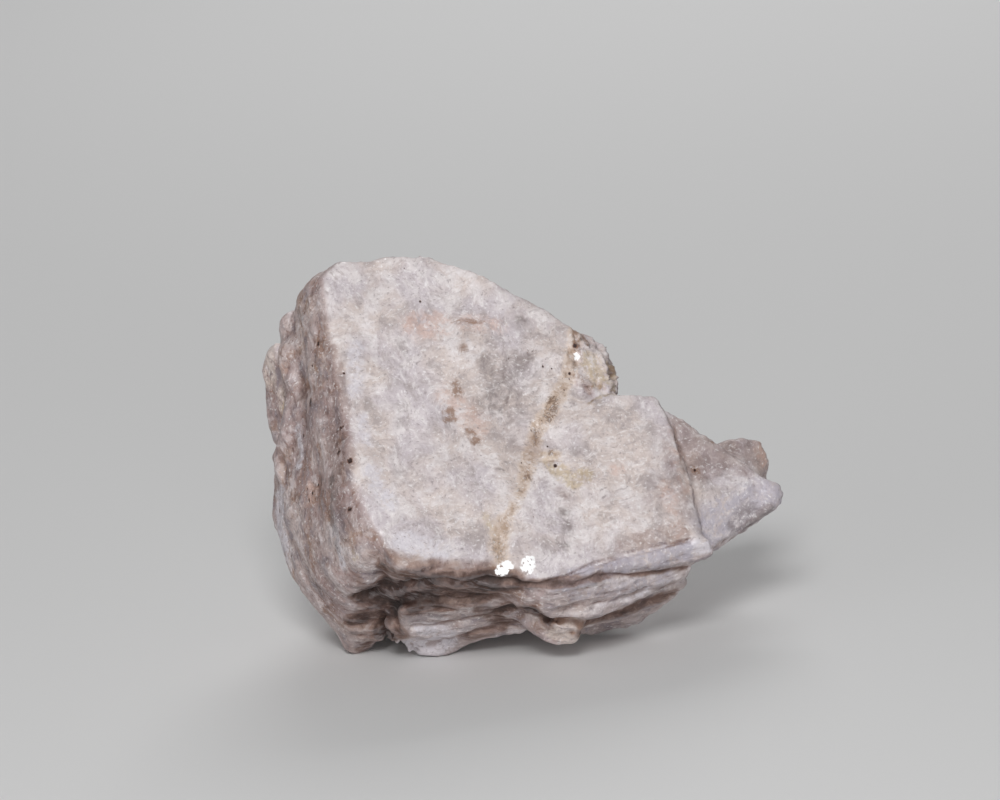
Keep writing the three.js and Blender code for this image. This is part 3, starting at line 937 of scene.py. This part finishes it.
def cleavage_faces(tree, leaf):
    """Cells of the crystal faces: flakes and small spangles, bent so that no edge is straight."""
    leaf = bent(tree, leaf, CLEAVAGE_BEND_SIZE, CLEAVAGE_BEND)
    return {
        name: add(tree, "ShaderNodeTexVoronoi", {"Vector": leaf, "Scale": 1 / size}).outputs
        for name, (size, _) in CLEAVAGE.items()
    }


def spots(tree, cells):
    """Dark specks, white flecks and shining faces, each in a few of the cells."""
    pick = add(tree, "ShaderNodeSeparateXYZ", {0: cells["Color"]}).outputs
    middle = add(tree, "ShaderNodeMapRange", {
        "Value": cells["Distance"], "From Min": SPOT_END, "From Max": SPOT_FULL,
    }).outputs["Result"]
    fields = {}
    for name, channel, least, is_round in SPOTS:
        picked = add(tree, "ShaderNodeMath", {
            0: pick[channel], 1: least,
        }, operation="GREATER_THAN").outputs[0]
        fields[name] = add(tree, "ShaderNodeMath", {
            0: picked, 1: middle if is_round else 1.0,
        }, operation="MULTIPLY").outputs[0]
    return fields


def layered_tone(tree, look):
    """The colour: each layer of TONES over those before it."""
    tone = linear(GROUND)
    for colour, driver, low, high, strength, where, blend in TONES:
        share = add(tree, "ShaderNodeMapRange", {
            "Value": look[driver], "From Min": low, "From Max": high, "To Max": strength,
        }, interpolation_type="SMOOTHSTEP").outputs["Result"]
        if where:
            share = add(tree, "ShaderNodeMath", {
                0: share, 1: look[where],
            }, operation="MULTIPLY", use_clamp=True).outputs[0]
        tone = add(tree, "ShaderNodeMix", {
            0: share, 6: tone, 7: linear(colour),
        }, data_type="RGBA", blend_type=blend).outputs[2]
    return tone


def gloss(tree, look):
    """The roughness: dull, with pearly cells off the torn edges, and pearly where a glint is."""
    shine = add(tree, "ShaderNodeMath", {
        0: look["shine"], 1: look["clean"],
    }, operation="MULTIPLY").outputs[0]
    rough = add(tree, "ShaderNodeMapRange", {
        "Value": shine, "To Min": DULL, "To Max": PEARLY,
    }).outputs["Result"]
    return add(tree, "ShaderNodeMix", {
        0: look["glint"], 2: rough, 3: PEARLY,
    }, data_type="FLOAT").outputs[0]


def broken_normal(tree, look, faces):
    """The fine relief, then the cleavage faces, each leaning its own way."""
    normal = None
    for driver, height, where in BUMPS:
        inputs = {
            "Height": look[driver], "Distance": height * MM, "Strength": look[where] if where else 1.0,
        }
        if normal is not None:
            inputs["Normal"] = normal
        normal = add(tree, "ShaderNodeBump", inputs).outputs["Normal"]
    leans = []
    for name, (_, share) in CLEAVAGE.items():
        own_way = add(tree, "ShaderNodeVectorMath", {
            0: faces[name]["Color"], 1: (0.5, 0.5, 0.5),
        }, operation="SUBTRACT").outputs[0]
        leans.append((own_way, share))
    leans.append((GLINT_LEAN, look["glint"]))
    for way, share in leans:
        lean = add(tree, "ShaderNodeVectorMath", {0: way, "Scale": share}, operation="SCALE").outputs[0]
        normal = add(tree, "ShaderNodeVectorMath", {0: normal, 1: lean}, operation="ADD").outputs[0]
    return add(tree, "ShaderNodeVectorMath", {0: normal}, operation="NORMALIZE").outputs[0]


lump.data.materials.clear()
lump.data.materials.append(wollastonite())
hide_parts("stone")
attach(lump, "root")

# ---- Floor, light and camera -------------------------------------------------------------
FLOOR_SIDE = 4000
PAPER_TONE = "D7D7D7"
PAPER_ROUGHNESS = 0.9

VIEW_RISE = math.radians(18)
VIEW_ROLL = math.radians(4.3)
VIEW_AIM = Vector((-2.45, 0.2, 33.0)) * MM
VIEW_DISTANCE = 742 * MM
LENS = 200
SENSOR = 36

# Softboxes: name, place, side in millimetres, watts. They aim at the middle of the lump.
SOFTBOXES = (
    ("key", (-40, -400, 420), 200, 1.7),
    ("front", (70, -620, 130), 260, 0.65),
    ("left", (-440, -280, 160), 300, 0.32),
    ("back", (60, 480, 380), 300, 1.2),
)
LIGHT_AIM = Vector((0, 0, 20)) * MM
WALL_TONE = "E7E7E7"
WALL_STRENGTH = 0.22


def matt_paper():
    """Uncoated pale grey paper: flat and without gloss, so that shadows on it stay soft."""
    material = bpy.data.materials.new("matt pale paper")
    material.use_nodes = True
    shader = material.node_tree.nodes["Principled BSDF"]
    shader.inputs["Base Color"].default_value = linear(PAPER_TONE)
    shader.inputs["Roughness"].default_value = PAPER_ROUGHNESS
    return material


def add_camera():
    data = bpy.data.cameras.new("camera")
    data.lens = LENS
    data.sensor_width = SENSOR
    camera = bpy.data.objects.new("camera", data)
    bpy.context.scene.collection.objects.link(camera)
    forward = Vector((0, math.cos(VIEW_RISE), -math.sin(VIEW_RISE)))
    level = Vector((1, 0, 0))
    high = level.cross(forward)
    right = math.cos(VIEW_ROLL) * level - math.sin(VIEW_ROLL) * high
    up = math.sin(VIEW_ROLL) * level + math.cos(VIEW_ROLL) * high
    turn = Matrix((right, up, -forward)).transposed().to_4x4()
    camera.matrix_world = Matrix.Translation(VIEW_AIM - VIEW_DISTANCE * forward) @ turn
    bpy.context.scene.camera = camera


def add_softbox(name, place, side, power):
    data = bpy.data.lights.new(name, "AREA")
    data.shape = "SQUARE"
    data.size = side * MM
    data.energy = power
    box = bpy.data.objects.new(name, data)
    bpy.context.scene.collection.objects.link(box)
    box.location = Vector(place) * MM
    box.rotation_euler = (LIGHT_AIM - box.location).to_track_quat("-Z", "Y").to_euler()


bpy.ops.mesh.primitive_plane_add(size=FLOOR_SIDE * MM, location=(0, 0, 0))
floor = bpy.context.active_object
floor.name = "floor"
floor.data.materials.append(matt_paper())

add_camera()
for softbox in SOFTBOXES:
    add_softbox(*softbox)
world = bpy.data.worlds.new("studio")
bpy.context.scene.world = world
world.use_nodes = True
wall = world.node_tree.nodes["Background"]
wall.inputs["Color"].default_value = linear(WALL_TONE)
wall.inputs["Strength"].default_value = WALL_STRENGTH
bpy.context.scene.view_settings.view_transform = "Standard"
